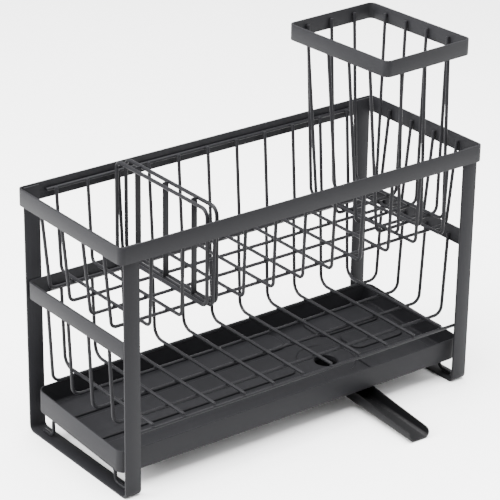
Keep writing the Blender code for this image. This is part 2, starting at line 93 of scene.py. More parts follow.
class RackWireSettings(bpy.types.PropertyGroup):
    """How the round wires are bent."""

    diameter: length("Diameter", "Diameter of the basket wire", 4 * MM)
    sides: IntProperty(name="Sides", description="Faces round a wire", default=16, min=8, max=32)
    steps: IntProperty(name="Bend Steps", description="Rings in one bend", default=8, min=3, max=24)
    end_round: length("End Round", "Rounding of a cropped wire end", 0.5 * MM)
    upper_lean: length("Upper Lean", "How far an upper wire leans in at each end", 10 * MM)
    upper_front_lean: length("Upper Front Lean", "How far it leans in at the front", 3.5 * MM)
    upper_back_lean: length("Upper Back Lean", "How far it leans in at the back", 7 * MM)
    upper_bend: length("Upper Bend", "Bend radius of the upper basket's wires", 7 * MM)
    lower_lean: length("Lower Lean", "How far a lower side wire leans in", 5 * MM)
    lower_back_bend: length("Lower Back Bend", "Bend radius at the back of the lower basket", 14 * MM)
    lower_end_bend: length("Lower End Bend", "Bend radius at the ends of the lower basket", 11 * MM)
    rest_foot: length("Rest Foot", "Length of a tray rest's foot", 20 * MM)
    rest_bend: length("Rest Bend", "Bend radius of the tray rests", 7 * MM)
    weld_size: length("Weld Size", "Width of the pressed spot weld where two wires cross", 4.4 * MM)


class RackStripSettings(bpy.types.PropertyGroup):
    """How the flat bar is bent."""

    thick: length("Thickness", "Thickness of the flat bar", 2.5 * MM)
    edge_round: length("Edge Round", "Rounding of the bar's rolled edges", 0.45 * MM)
    rim_bend: length("Rim Bend", "Outer bend radius of the top rim", 7 * MM)
    foot_bend: length("Foot Bend", "Outer bend radius where a leg turns into the foot bar", 8 * MM)
    band_bend: length("Band Bend", "Outer bend radius of the middle band", 8 * MM)


class RackTraySettings(bpy.types.PropertyGroup):
    """The pressed drip tray and its spout."""

    depth: length("Depth", "Front to back size along the tray's slope", 170 * MM)
    height: length("Height", "Height of the tray's wall", 28 * MM)
    wall: length("Wall", "Thickness of the wall", 1.5 * MM)
    floor: length("Floor", "Underside to the level of the water channels", 2.4 * MM)
    corner: length("Corner", "Outer corner radius", 12 * MM)
    panel_rise: length("Panel Rise", "Height of the raised floor panels", 2.6 * MM)
    drain_forward: length("Drain Forward", "Drain in front of the tray's middle", 6 * MM)
    drain_bore: length("Drain Bore", "Diameter of the drain hole", 28 * MM)
    dish: length("Dish", "Diameter of the dished ring round the drain", 72 * MM)
    spout_width: length("Spout Width", "Outer width of the spout", 28 * MM)
    spout_wall: length("Spout Wall", "Wall thickness of the spout", 1.6 * MM)
    spout_reach: length("Spout Reach", "From the drain's middle to the spout's lip", 176 * MM)
    spout_drop: length("Spout Drop", "From the tray's underside to the spout's", 18.79 * MM)
    spout_lip: length("Spout Lip", "Height of the spout's side walls at the lip", 11.2 * MM)
    spout_round: length("Spout Round", "Outer radius of the spout's corners", 6 * MM)
    spout_turn: FloatProperty(name="Spout Turn", description="Turn of the spout as it is left standing",
                              default=radians(-1.2), subtype="ANGLE")


class RackDividerSettings(bpy.types.PropertyGroup):
    """The plate divider."""

    diameter: length("Diameter", "Diameter of a hoop's wire", 4.5 * MM)
    bend: length("Bend", "Corner radius of a hoop", 10 * MM)
    tab_round: length("Tab Round", "Rounding of a spacer's edges", 0.3 * MM)


class RackCutlerySettings(bpy.types.PropertyGroup):
    """The lift-off cutlery basket."""

    long: length("Length", "Left to right size of the rim", 130 * MM)
    deep: length("Depth", "Front to back size of the rim", 167 * MM)
    corner: length("Corner", "Outer bend radius of the rim", 8 * MM)
    end_drop: length("End Drop", "Ends of the wires below the top of the rim", 6 * MM)
    end_taper: length("End Taper", "How far the left and right sides come in", 12.5 * MM)
    side_taper: length("Side Taper", "How far the front and back come in", 3 * MM)
    floor_shift: FloatVectorProperty(name="Floor Shift", description="Middle of the floor from the rim's",
                                     size=2, default=(5.5 * MM, -3 * MM), unit="LENGTH")
    wire_shift: FloatVectorProperty(name="Wire Shift", description="Middle wires from the rim's middle",
                                    size=2, default=(-2.5 * MM, 2.5 * MM), unit="LENGTH")
    bend: length("Bend", "Bend radius of the basket's wires", 9 * MM)
    across_pitch: length("Across Pitch", "Spacing of the wires that run left to right", 34.7 * MM)
    along_pitch: length("Along Pitch", "Spacing of the wires that run front to back", 35.8 * MM)
    turn: FloatProperty(name="Turn", description="Turn of the basket as it is left standing",
                        default=radians(2.7), subtype="ANGLE")


class RackFinishSettings(bpy.types.PropertyGroup):
    """Colours of the coats and of the moulded plastic."""

    strip: colour("Flat Bar", "Powder coat on the flat bar", "#18181a")
    wire: colour("Wire", "Powder coat on the round wire", "#171719")
    tray: colour("Tray", "Powder coat on the pressed tray", "#18181a")
    plastic: colour("Spout", "Moulded plastic of the spout", "#0d0d0e")


class RackStageSettings(bpy.types.PropertyGroup):
    """Camera and light."""

    azimuth: FloatProperty(name="Azimuth", description="Camera's way round the rack",
                           default=radians(-37.398), subtype="ANGLE")
    elevation: FloatProperty(name="Elevation", description="Camera's height above the horizon",
                             default=radians(24.369), subtype="ANGLE")
    roll: FloatProperty(name="Roll", description="Camera's turn about its own axis",
                        default=radians(0.832), subtype="ANGLE")
    distance: length("Distance", "Camera to the point it looks at", 2.6257)
    target: FloatVectorProperty(name="Target", description="Point that the camera looks at", size=3,
                                default=(-0.0045, 0.04356, 0.19679), subtype="XYZ")
    lens: FloatProperty(name="Lens", description="Focal length in millimetres", default=167.24)
    floor: colour("Floor", "Plain floor", "#f2f2f2")


# ---- edit-mode tools ----------------------------------------------------
def begin(name):
    """Name the primitive that was just added, apply its placing and enter edit mode."""
    piece = bpy.context.object
    piece.name = name
    piece.data.name = name
    bpy.ops.object.transform_apply(location=True, rotation=True, scale=True)
    bpy.ops.object.mode_set(mode="EDIT")
    bpy.ops.mesh.select_mode(type="VERT")
    return piece


def choose(kind, test):
    """Select only the vertices, edges or faces that pass a test."""
    bpy.ops.mesh.select_mode(type=kind)
    bpy.ops.mesh.select_all(action="DESELECT")
    data = bpy.context.object.data
    shape = bmesh.from_edit_mesh(data)
    items = {"VERT": shape.verts, "EDGE": shape.edges, "FACE": shape.faces}[kind]
    for item in items:
        if test(item):
            item.select_set(True)
    bmesh.update_edit_mesh(data)


def middle(edge):
    """Halfway along an edge."""
    return (edge.verts[0].co + edge.verts[1].co) / 2


def along(edge, axis):
    """True if an edge runs along a world axis, 0 to 2."""
    run = edge.verts[1].co - edge.verts[0].co
    return abs(run[axis]) > 0.999 * run.length


def level(height):
    """A test for edges that lie at a height."""
    return lambda edge: all(abs(v.co.z - height) < NEAR for v in edge.verts)


def leave():
    """Back to object mode, with every face turned outwards."""
    bpy.ops.mesh.select_all(action="SELECT")
    bpy.ops.mesh.normals_make_consistent(inside=False)
    bpy.ops.object.mode_set(mode="OBJECT")


def apply_modifier(piece, kind, **settings):
    """Add a modifier, set it and apply it."""
    step = piece.modifiers.new(kind.title(), kind)
    for key, value in settings.items():
        setattr(step, key, value)
    bpy.context.view_layer.objects.active = piece
    bpy.ops.object.modifier_apply(modifier=step.name)


def soften(piece, width, angle=50, segments=2):
    """Round every edge that is sharper than an angle."""
    apply_modifier(piece, "BEVEL", width=width, segments=segments, limit_method="ANGLE",
                   angle_limit=radians(angle), harden_normals=False)


def smooth(piece, angle=35):
    """Smooth shading, sharp only past an angle."""
    bpy.ops.object.select_all(action="DESELECT")
    piece.select_set(True)
    bpy.context.view_layer.objects.active = piece
    bpy.ops.object.shade_smooth_by_angle(angle=radians(angle))
    piece.select_set(False)


def cut(piece, tool, operation):
    """Join a tool to a piece or take it away, and remove the tool."""
    apply_modifier(piece, "BOOLEAN", operation=operation, solver="EXACT", object=tool)
    bpy.data.objects.remove(tool, do_unlink=True)


def settle(piece, matrix):
    """Move a finished piece's mesh to where it stands."""
    piece.data.transform(matrix)
    piece.data.update()


def finish(piece, body, node, material, angle=35):
    """Shade a piece, coat it, and put it in the place of its frame node."""
    smooth(piece, angle)
    piece.data.materials.clear()
    piece.data.materials.append(material)
    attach(piece, body)
    if node:
        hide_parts(node)


def block(name, low, high):
    """A box between two corners, in edit mode."""
    low, high = Vector(low), Vector(high)
    bpy.ops.mesh.primitive_cube_add(size=1, location=(low + high) / 2, scale=high - low)
    return begin(name)


def post(name, radius, low, high, sides=64, top=None):
    """An upright cylinder, or a cone with a radius of its own at the top, about the Z axis."""
    top = radius if top is None else top
    bpy.ops.mesh.primitive_cone_add(vertices=sides, radius1=radius, radius2=top, depth=high - low,
                                    location=(0, 0, (low + high) / 2))
    piece = begin(name)
    leave()
    return piece


def round_edges(test, radius, segments=6):
    """Bevel the edges that pass a test."""
    choose("EDGE", test)
    bpy.ops.mesh.bevel(offset=radius, offset_type="OFFSET", segments=segments, affect="EDGES")


# ---- finishes -----------------------------------------------------------
PATCH = 40 * MM  # size of the faint mottling of a coat
SPREAD = 0.06  # how far the roughness of the grain's tops and hollows lies from the mean


def node(tree, kind, links=None, **settings):
    """Add a shader node, set its properties and inputs, and link into it."""
    made = tree.nodes.new(kind)
    for key, value in settings.items():
        if key in made.inputs:
            made.inputs[key].default_value = value
        else:
            setattr(made, key, value)
    for key, source in (links or {}).items():
        tree.links.new(source, made.inputs[key])
    return made


def grained(name, shade, roughness, specular, grain, relief, drift):
    """A dark, slightly mottled surface with a fine grain, on the piece's own coordinates."""
    material = bpy.data.materials.new(name)
    material.use_nodes = True
    tree = material.node_tree
    shader = tree.nodes["Principled BSDF"]
    shader.inputs["Metallic"].default_value = 0.0
    shader.inputs["IOR"].default_value = 1.5
    shader.inputs["Specular IOR Level"].default_value = specular
    place = node(tree, "ShaderNodeTexCoord").outputs["Object"]
    patch = node(tree, "ShaderNodeTexNoise", {"Vector": place}, Scale=1 / PATCH, Detail=2.0)
    fine = node(tree, "ShaderNodeTexNoise", {"Vector": place}, Scale=1 / grain, Detail=3.0,
                Roughness=0.55)
    tone = node(tree, "ShaderNodeMix", {"Factor": patch.outputs["Fac"]}, data_type="RGBA")
    tone.inputs[6].default_value = [c * (1 - drift) for c in shade] + [1.0]
    tone.inputs[7].default_value = [c * (1 + drift) for c in shade] + [1.0]
    tree.links.new(tone.outputs[2], shader.inputs["Base Color"])
    gloss = node(tree, "ShaderNodeMapRange", {"Value": fine.outputs["Fac"]})
    gloss.inputs["To Min"].default_value = roughness - SPREAD
    gloss.inputs["To Max"].default_value = roughness + SPREAD
    tree.links.new(gloss.outputs["Result"], shader.inputs["Roughness"])
    bump = node(tree, "ShaderNodeBump", {"Height": fine.outputs["Fac"]}, Strength=0.35, Distance=relief)
    tree.links.new(bump.outputs["Normal"], shader.inputs["Normal"])
    return material


# Polyester powder coat, sprayed and baked: dark, even, with a soft sheen and a faint orange peel
# about 0.8 mm across. It flows smoother on round wire than on flat bar and on the tray.
def powder_coat(name, shade, roughness=0.48):
    return grained(name, shade, roughness, specular=0.08, grain=0.8 * MM, relief=0.02 * MM, drift=0.05)


# Moulded polypropylene: a spark-eroded grain that scatters light, black right through.
def moulded_plastic(name, shade):
    return grained(name, shade, 0.38, specular=0.10, grain=0.5 * MM, relief=0.015 * MM, drift=0.03)


def finishes():
    """The four finishes of the rack, made once."""
    shades = bpy.context.scene.rack_finish
    wanted = {
        "powder_coated_flat_bar": lambda name: powder_coat(name, shades.strip),
        "powder_coated_wire": lambda name: powder_coat(name, shades.wire, 0.42),
        "powder_coated_tray": lambda name: powder_coat(name, shades.tray, 0.50),
        "moulded_black_polypropylene": lambda name: moulded_plastic(name, shades.plastic),
    }
    for name, make in wanted.items():
        if name not in bpy.data.materials:
            make(name)
    return [bpy.data.materials[name] for name in wanted]


# ---- round wire ---------------------------------------------------------
def ring(place, heading, radius, sides):
    """An open ring of vertices facing along a heading, ready to be drawn out."""
    turn = heading.to_track_quat("Z", "Y").to_euler()
    bpy.ops.mesh.primitive_circle_add(vertices=sides, radius=radius, fill_type="NOTHING", location=place,
                                      rotation=turn)


def draw_to(here, there):
    """Extrude the selected ring along a straight run."""
    bpy.ops.mesh.extrude_region_move(TRANSFORM_OT_translate={"value": there - here})


def bend_round(here, heading, turned, radius, steps):
    """Spin the selected ring round a bend, and say where it ends."""
    axis = heading.cross(turned).normalized()
    centre = here + axis.cross(heading) * radius
    angle = heading.angle(turned)
    bpy.ops.mesh.spin(steps=steps, angle=-angle, center=centre, axis=axis)
    return centre + Matrix.Rotation(angle, 3, axis) @ (here - centre)


def bent_wire(name, corners, radius, bend, closed=False):
    """A round wire through corners: a ring drawn along each run and spun round each bend."""
    settings = bpy.context.scene.rack_wire
    corners = [Vector(c) for c in corners]
    if closed:
        start = (corners[-1] + corners[0]) / 2
        corners = [start] + corners + [start]
    here = corners[0]
    ring(here, (corners[1] - here).normalized(), radius, settings.sides)
    piece = begin(name)
    bpy.ops.mesh.select_all(action="SELECT")
    for before, corner, after in zip(corners, corners[1:], corners[2:]):
        heading = (corner - before).normalized()
        turned = (after - corner).normalized()
        reach = bend * tan(heading.angle(turned) / 2)
        start = corner - heading * reach
        draw_to(here, start)
        here = bend_round(start, heading, turned, bend, settings.steps)
    draw_to(here, corners[-1])
    if closed:
        bpy.ops.mesh.select_all(action="SELECT")
        bpy.ops.mesh.remove_doubles(threshold=NEAR)
    else:
        bpy.ops.mesh.select_mode(type="EDGE")
        bpy.ops.mesh.select_all(action="DESELECT")
        bpy.ops.mesh.select_non_manifold(extend=False)
        bpy.ops.mesh.edge_face_add()
    leave()
    if not closed:
        soften(piece, settings.end_round, angle=60)
    return piece


def wire_radius():
    """Half the diameter of the basket wire."""
    return bpy.context.scene.rack_wire.diameter / 2


def u_wire(node_name, run, leans, bend):
    """A U-shaped basket wire, drawn from its node's box. run is the axis along its floor."""
    low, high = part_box(node_name)
    side = 1 - run
    radius = wire_radius()
    top = high.z
    floor = low.z + radius
    first, last = low[run] + radius, high[run] - radius
    corners = []
    foot, toe = first + leans[0], last - leans[1]
    for place, height in ((first, top), (foot, floor), (toe, floor), (last, top)):
        corner = Vector((0.0, 0.0, height))
        corner[run] = place
        corner[side] = (low[side] + high[side]) / 2
        corners.append(corner)
    return bent_wire(node_name + "_drawn", corners, radius, bend)


def straight_wire(node_name):
    """A straight rail along X, drawn from its node's box."""
    low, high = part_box(node_name)
    radius = wire_radius()
    y, z = (low.y + high.y) / 2, (low.z + high.z) / 2
    return bent_wire(node_name + "_drawn", [(low.x, y, z), (high.x, y, z)], radius, radius)


def numbered(stem):
    """The frame nodes whose names start with a stem, in order."""
    return sorted(n for n in frame["nodes"] if n.startswith(stem))


# ---- flat bar -----------------------------------------------------------
def bar_band(name, low, high, bend, open_faces, bent_edges):
    """Flat bar bent round a box: the faces left open are deleted, the rest gets its thickness."""
    strip = bpy.context.scene.rack_strip
    piece = block(name, low, high)
    round_edges(bent_edges, bend)
    choose("FACE", open_faces)
    bpy.ops.mesh.delete(type="FACE")
    leave()
    apply_modifier(piece, "SOLIDIFY", thickness=strip.thick, offset=-1.0, use_even_offset=True)
    soften(piece, strip.edge_round)
    return piece


class RACK_OT_end_frames(bpy.types.Operator):
    """Bend the two end frames, each two legs and a foot bar"""

    bl_idname = "rack.end_frames"
    bl_label = "End Frames"

    def execute(self, context):
        coat = finishes()[0]
        for name in ("end_frame_left", "end_frame_right"):
            low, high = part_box(name)
            piece = bar_band(
                name + "_bar", low, high, context.scene.rack_strip.foot_bend,
                lambda face: face.normal.z > FACING or abs(face.normal.x) > FACING,
                lambda edge: along(edge, 0) and middle(edge).z < low.z + MM)
            finish(piece, "rack_frame", name, coat)
        return {"FINISHED"}


class RACK_OT_top_rim(bpy.types.Operator):
    """Bend the closed band round the tops of the legs"""

    bl_idname = "rack.top_rim"
    bl_label = "Top Rim"

    def execute(self, context):
        low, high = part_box("top_rim")
        piece = bar_band("top_rim_bar", low, high, context.scene.rack_strip.rim_bend,
                         lambda face: abs(face.normal.z) > FACING, lambda edge: along(edge, 2))
        finish(piece, "rack_frame", "top_rim", finishes()[0])
        return {"FINISHED"}


class RACK_OT_middle_band(bpy.types.Operator):
    """Bend the middle band, which is open at the front"""

    bl_idname = "rack.middle_band"
    bl_label = "Middle Band"

    def execute(self, context):
        low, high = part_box("middle_band")
        piece = bar_band("middle_band_bar", low, high, context.scene.rack_strip.band_bend,
                         lambda face: abs(face.normal.z) > FACING or face.normal.y < -FACING,
                         lambda edge: along(edge, 2) and middle(edge).y > high.y - MM)
        finish(piece, "rack_frame", "middle_band", finishes()[0])
        return {"FINISHED"}


# ---- welded baskets -----------------------------------------------------
class RACK_OT_rails(bpy.types.Operator):
    """Draw the straight rails that the basket wires are welded to"""

    bl_idname = "rack.rails"
    bl_label = "Rails"

    def execute(self, context):
        coat = finishes()[1]
        for name in ("top_rail_back", "top_rail_front", "middle_rail_back", "front_rail"):
            finish(straight_wire(name), "rack_frame", name, coat)
        return {"FINISHED"}


class RACK_OT_upper_basket(bpy.types.Operator):
    """Bend the wires of the upper basket"""

    bl_idname = "rack.upper_basket"
    bl_label = "Upper Basket"

    def execute(self, context):
        coat = finishes()[1]
        wires = context.scene.rack_wire
        sets = (("upper_cross_wire_", 1, (wires.upper_front_lean, wires.upper_back_lean)),
                ("upper_long_wire_", 0, (wires.upper_lean, wires.upper_lean)))
        for stem, run, leans in sets:
            for name in numbered(stem):
                piece = u_wire(name, run, leans, wires.upper_bend)
                finish(piece, "rack_frame", name, coat)
        return {"FINISHED"}


class RACK_OT_lower_basket(bpy.types.Operator):
    """Bend the wires of the lower basket, whose cross wires stop at the open front"""

    bl_idname = "rack.lower_basket"
    bl_label = "Lower Basket"

    def execute(self, context):
        coat = finishes()[1]
        wires = context.scene.rack_wire
        for name in numbered("lower_cross_wire_"):
            low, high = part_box(name)
            radius = wire_radius()
            x, floor = (low.x + high.x) / 2, low.z + radius
            corners = [(x, low.y, floor), (x, high.y - radius - wires.lower_lean, floor),
                       (x, high.y - radius, high.z)]
            piece = bent_wire(name + "_drawn", corners, radius, wires.lower_back_bend)
            finish(piece, "rack_frame", name, coat)
        for name in numbered("lower_long_wire_"):
            piece = u_wire(name, 0, (wires.lower_lean, wires.lower_lean), wires.lower_end_bend)
            finish(piece, "rack_frame", name, coat)
        return {"FINISHED"}


WELD_FLATNESS = 0.42  # height of a pressed weld over its width


def weld_beads(name, crossings, body):
    """Pressed spot welds, one flattened bead in the seam at each crossing, as one piece."""
    size = bpy.context.scene.rack_wire.weld_size
    beads = []
    for place, flat in crossings:
        scale = Vector((1.0, 1.0, 1.0))
        scale[flat] = WELD_FLATNESS
        bpy.ops.mesh.primitive_uv_sphere_add(segments=10, ring_count=6, radius=size / 2, location=place,
                                             scale=scale)
        bpy.ops.object.transform_apply(location=True, rotation=True, scale=True)
        beads.append(bpy.context.object)
        bpy.context.object.select_set(False)
    for bead in beads:
        bead.select_set(True)
    bpy.context.view_layer.objects.active = beads[0]
    bpy.ops.object.join()
    piece = bpy.context.object
    piece.name = name
    piece.select_set(False)
    finish(piece, body, None, finishes()[1], angle=80)


def seam(cross, run):
    """Where a cross wire lies on a long wire, at the cross wire's underside."""
    cross_low, cross_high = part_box(cross)
    run_low, run_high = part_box(run)
    return Vector(((cross_low.x + cross_high.x) / 2, (run_low.y + run_high.y) / 2, cross_low.z))


class RACK_OT_spot_welds(bpy.types.Operator):
    """Add the spot welds where wires cross and where they meet the rails"""

    bl_idname = "rack.spot_welds"
    bl_label = "Spot Welds"

    def execute(self, context):
        for tier in ("upper", "lower"):
            crossings = []
            for cross in numbered(tier + "_cross_wire_"):
                for run in numbered(tier + "_long_wire_"):
                    crossings.append((seam(cross, run), 2))
            weld_beads(tier + "_basket_spot_welds", crossings, "rack_frame")
        ends = [(seam(cross, "front_rail"), 2) for cross in numbered("lower_cross_wire_")]
        for rail, stem, side in (("top_rail_back", "upper", 1), ("top_rail_front", "upper", -1),
                                 ("middle_rail_back", "lower", 1)):
            rail_low, rail_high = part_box(rail)
            height = (rail_low.z + rail_high.z) / 2
            face = rail_low.y if side > 0 else rail_high.y
            for cross in numbered(stem + "_cross_wire_"):
                low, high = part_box(cross)
                ends.append((Vector(((low.x + high.x) / 2, face, height)), 1))
        weld_beads("rail_spot_welds", ends, "rack_frame")
        return {"FINISHED"}


class RACK_OT_tray_rests(bpy.types.Operator):
    """Bend the two wires that the tray lies on"""

    bl_idname = "rack.tray_rests"
    bl_label = "Tray Rests"

    def execute(self, context):
        wires = context.scene.rack_wire
        radius = wire_radius()
        for name in ("tray_rest_left", "tray_rest_right"):
            low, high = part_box(name)
            x, foot = (low.x + high.x) / 2, low.z + radius
            front, back = low.y + wires.rest_foot, high.y - wires.rest_foot
            corners = [(x, low.y, foot), (x, front, foot), (x, front, self.rest_height(front, radius)),
                       (x, back, self.rest_height(back, radius)), (x, back, foot), (x, high.y, foot)]
            piece = bent_wire(name + "_drawn", corners, radius, wires.rest_bend)
            finish(piece, "rack_frame", name, finishes()[1])
        return {"FINISHED"}

    def rest_height(self, y, radius):
        """Middle of a wire that lies just under the tray."""
        pivot, slope = swivel()[0], tray_slope()
        return pivot.z + (y - pivot.y) * tan(slope) - (radius + CLEARANCE) / cos(slope)


# ---- drip tray and spout ------------------------------------------------
def swivel():
    """The spout's joint: its pivot on the tray's underside and the tray's upward normal."""
    joint = next(j for j in frame["joints"] if j["name"] == "spout_swivel")
    return Vector(joint["pos_m"]), Vector(joint["axis"]).normalized()


def tray_slope():
    """How far the tray tips towards the front."""
    up = swivel()[1]
    return atan2(-up.y, up.z)


def tray_matrix():
    """From a level tray with its drain at the origin to where the tray lies."""
    return Matrix.Translation(swivel()[0]) @ Matrix.Rotation(tray_slope(), 4, "X")


PAN_ROUND = 2.5 * MM  # where the wall turns into the floor, outside
HOLLOW_ROUND = 3.0 * MM  # and inside
WALL_TOP_ROUND = 0.5 * MM
PANEL_END_GAP = 16 * MM  # a raised panel in from the tray's end
PANEL_SIDE_GAP = 6 * MM  # and in from its front and back
PANEL_CORNER = 11 * MM
PANEL_SHOULDER = 1.6 * MM
PANEL_ROOT = 0.5 * MM  # a panel's block starts this high in the floor
DISH_SLOPE = 1.2 * MM  # width of the dish's sloping edge
SINK_DEPTH = 1.0 * MM  # of the countersink round the drain hole
OVERCUT = 0.2 * MM  # how far a cutter stands out of what it cuts
NECK_WALL = 1.2 * MM
NECK_LENGTH = 5 * MM
NECK_PLAY = 0.4 * MM  # between the neck and the spout's cup
SPOUT_EDGE = 0.3 * MM

# The raised panels, three at each side of the drain: which end a panel runs to, 1 for the right, then
# its inner, front and back edges, measured from the drain. An edge of None keeps PANEL_SIDE_GAP.
PANELS = {
    "back_left": (-1, -20 * MM, 47 * MM, None),
    "middle_left": (-1, -47 * MM, -8.5 * MM, 40 * MM),
    "front_left": (-1, -30 * MM, None, -18 * MM),
    "back_right": (1, 27 * MM, 43 * MM, None),
    "middle_right": (1, 45 * MM, -2.6 * MM, 36 * MM),
    "front_right": (1, 31 * MM, None, -12 * MM),
}


def raised_panel(name, low, high):
    """A pressed floor panel with round corners and a soft shoulder, between two corners."""
    piece = block("panel_" + name, low, high)
    round_edges(lambda edge: along(edge, 2), PANEL_CORNER, segments=8)
    round_edges(level(high[2]), PANEL_SHOULDER, segments=4)
    leave()
    return piece


def tray_shell(half_x, half_y, shift):
    """The pan itself: an outer block less an inner one, both with soft lower edges."""
    tray = bpy.context.scene.rack_tray
    pan = None
    for inset, floor, top, soft in ((0.0, 0.0, tray.height, PAN_ROUND),
                                    (tray.wall, tray.floor, 2 * tray.height, HOLLOW_ROUND)):
        low = (shift.x - half_x + inset, shift.y - half_y + inset, floor)
        high = (shift.x + half_x - inset, shift.y + half_y - inset, top)
        piece = block("drip_tray_pressed" if pan is None else "tray_hollow", low, high)
        round_edges(lambda edge: along(edge, 2), tray.corner - inset, segments=10)
        round_edges(level(floor), soft, segments=4)
        leave()
        if pan is None:
            pan = piece
        else:
            cut(pan, piece, "DIFFERENCE")
    return pan


def floor_panels(half_x, half_y, shift):
    """The raised panels, with water channels between them."""
    tray = bpy.context.scene.rack_tray
    end = half_x - PANEL_END_GAP
    wall_front, wall_back = shift.y - half_y + PANEL_SIDE_GAP, shift.y + half_y - PANEL_SIDE_GAP
    panels = []
    for name, (side, inner, front, back) in PANELS.items():
        left, right = sorted((inner, shift.x + side * end))
        low = (left, wall_front if front is None else front, PANEL_ROOT)
        high = (right, wall_back if back is None else back, tray.floor + tray.panel_rise)
        panels.append(raised_panel(name, low, high))
    return panels


class RACK_OT_drip_tray(bpy.types.Operator):
    """Press the drip tray, with raised floor panels, a dished drain and a drawn neck"""

    bl_idname = "rack.drip_tray"
    bl_label = "Drip Tray"

    def execute(self, context):
        tray = context.scene.rack_tray
        low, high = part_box("drip_tray")
        half_x, half_y = (high.x - low.x) / 2, tray.depth / 2
        shift = Vector(((low.x + high.x) / 2 - swivel()[0].x, tray.drain_forward, 0.0))
        pan = tray_shell(half_x, half_y, shift)
        for panel in floor_panels(half_x, half_y, shift):
            cut(pan, panel, "UNION")
        bore, dish = tray.drain_bore / 2, tray.dish / 2
        dish_floor = tray.floor / 2
        cut(pan, post("dish", dish - DISH_SLOPE, dish_floor, tray.floor, top=dish), "DIFFERENCE")
        cut(pan, post("neck", bore + NECK_WALL, -NECK_LENGTH, dish_floor / 2), "UNION")
        cut(pan, post("countersink", bore, dish_floor - SINK_DEPTH, dish_floor + OVERCUT,
                      top=bore + SINK_DEPTH + OVERCUT), "DIFFERENCE")
        cut(pan, post("bore", bore, -2 * NECK_LENGTH, tray.height), "DIFFERENCE")
        self.round_top(pan, tray.height)
        settle(pan, tray_matrix())
        finish(pan, "tray", "drip_tray", finishes()[2], angle=30)
        return {"FINISHED"}

    def round_top(self, pan, height):
        """Roll the top edge of the wall over."""
        bpy.context.view_layer.objects.active = pan
        bpy.ops.object.mode_set(mode="EDIT")
        at_top = level(height)
        round_edges(lambda edge: at_top(edge) and not all(f.normal.z > FACING for f in edge.link_faces),
                    WALL_TOP_ROUND, segments=3)
        leave()


class RACK_OT_drain_spout(bpy.types.Operator):
    """Mould the drain spout, an open channel with a cup that snaps round the drain's neck"""

    bl_idname = "rack.drain_spout"
    bl_label = "Drain Spout"

    def execute(self, context):
        tray = context.scene.rack_tray
        half, wall, drop = tray.spout_width / 2, tray.spout_wall, tray.spout_drop
        socket = tray.drain_bore / 2 + NECK_WALL + NECK_PLAY
        spout = self.trough("drain_spout_moulded", half, tray.spout_reach, -drop, -CLEARANCE,
                            tray.spout_round)
        self.slope_lip(socket + wall + tray.spout_round, tray.spout_lip - drop, tray.spout_round)
        leave()
        hollow = self.trough("spout_hollow", half - wall, 2 * tray.spout_reach, wall - drop, drop,
                             tray.spout_round - wall)
        leave()
        cut(spout, post("cup", socket + wall, -drop, -CLEARANCE), "UNION")
        cut(spout, post("socket", socket, wall - drop, drop), "DIFFERENCE")
        cut(spout, hollow, "DIFFERENCE")
        soften(spout, SPOUT_EDGE, angle=60)
        settle(spout, tray_matrix() @ Matrix.Rotation(tray.spout_turn, 4, "Z"))
        finish(spout, "spout", "drain_spout", finishes()[3], angle=30)
        return {"FINISHED"}

    def trough(self, name, half, reach, low, high, soft):
        """A long block towards the front with round lower edges, left in edit mode."""
        piece = block(name, (-half, -reach, low), (half, 0, high))
        round_edges(lambda edge: along(edge, 1) and middle(edge).z < (low + high) / 2, soft)
        return piece

    def slope_lip(self, start, lip, soft):
        """Slope the top down from a start to the lip, and round the lip's corner."""
        bpy.ops.mesh.select_all(action="SELECT")
        bpy.ops.mesh.bisect(plane_co=(0, -start, 0), plane_no=(0, 1, 0))
        choose("EDGE", lambda edge: along(edge, 0) and middle(edge).z > -CLEARANCE - NEAR
               and middle(edge).y < -start - NEAR)
        bpy.ops.transform.translate(value=(0, 0, lip + CLEARANCE))
        bpy.ops.mesh.bevel(offset=soft, offset_type="OFFSET", segments=8, affect="EDGES")


# ---- plate divider ------------------------------------------------------
class RACK_OT_plate_divider(bpy.types.Operator):
    """Bend the divider's two closed hoops and cut its three flat spacers"""

    bl_idname = "rack.plate_divider"
    bl_label = "Plate Divider"

    def execute(self, context):
        divider = context.scene.rack_divider
        coat = finishes()[1]
        radius = divider.diameter / 2
        for name in ("divider_hoop_left", "divider_hoop_right"):
            low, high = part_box(name)
            x = (low.x + high.x) / 2
            front, back, bottom, top = low.y + radius, high.y - radius, low.z + radius, high.z - radius
            corners = [(x, front, bottom), (x, back, bottom), (x, back, top), (x, front, top)]
            piece = bent_wire(name + "_drawn", corners, radius, divider.bend, closed=True)
            finish(piece, "divider", name, coat)
        for name in numbered("divider_spacer_"):
            piece = block(name + "_cut", *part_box(name))
            leave()
            soften(piece, divider.tab_round)
            finish(piece, "divider", name, coat)
        return {"FINISHED"}


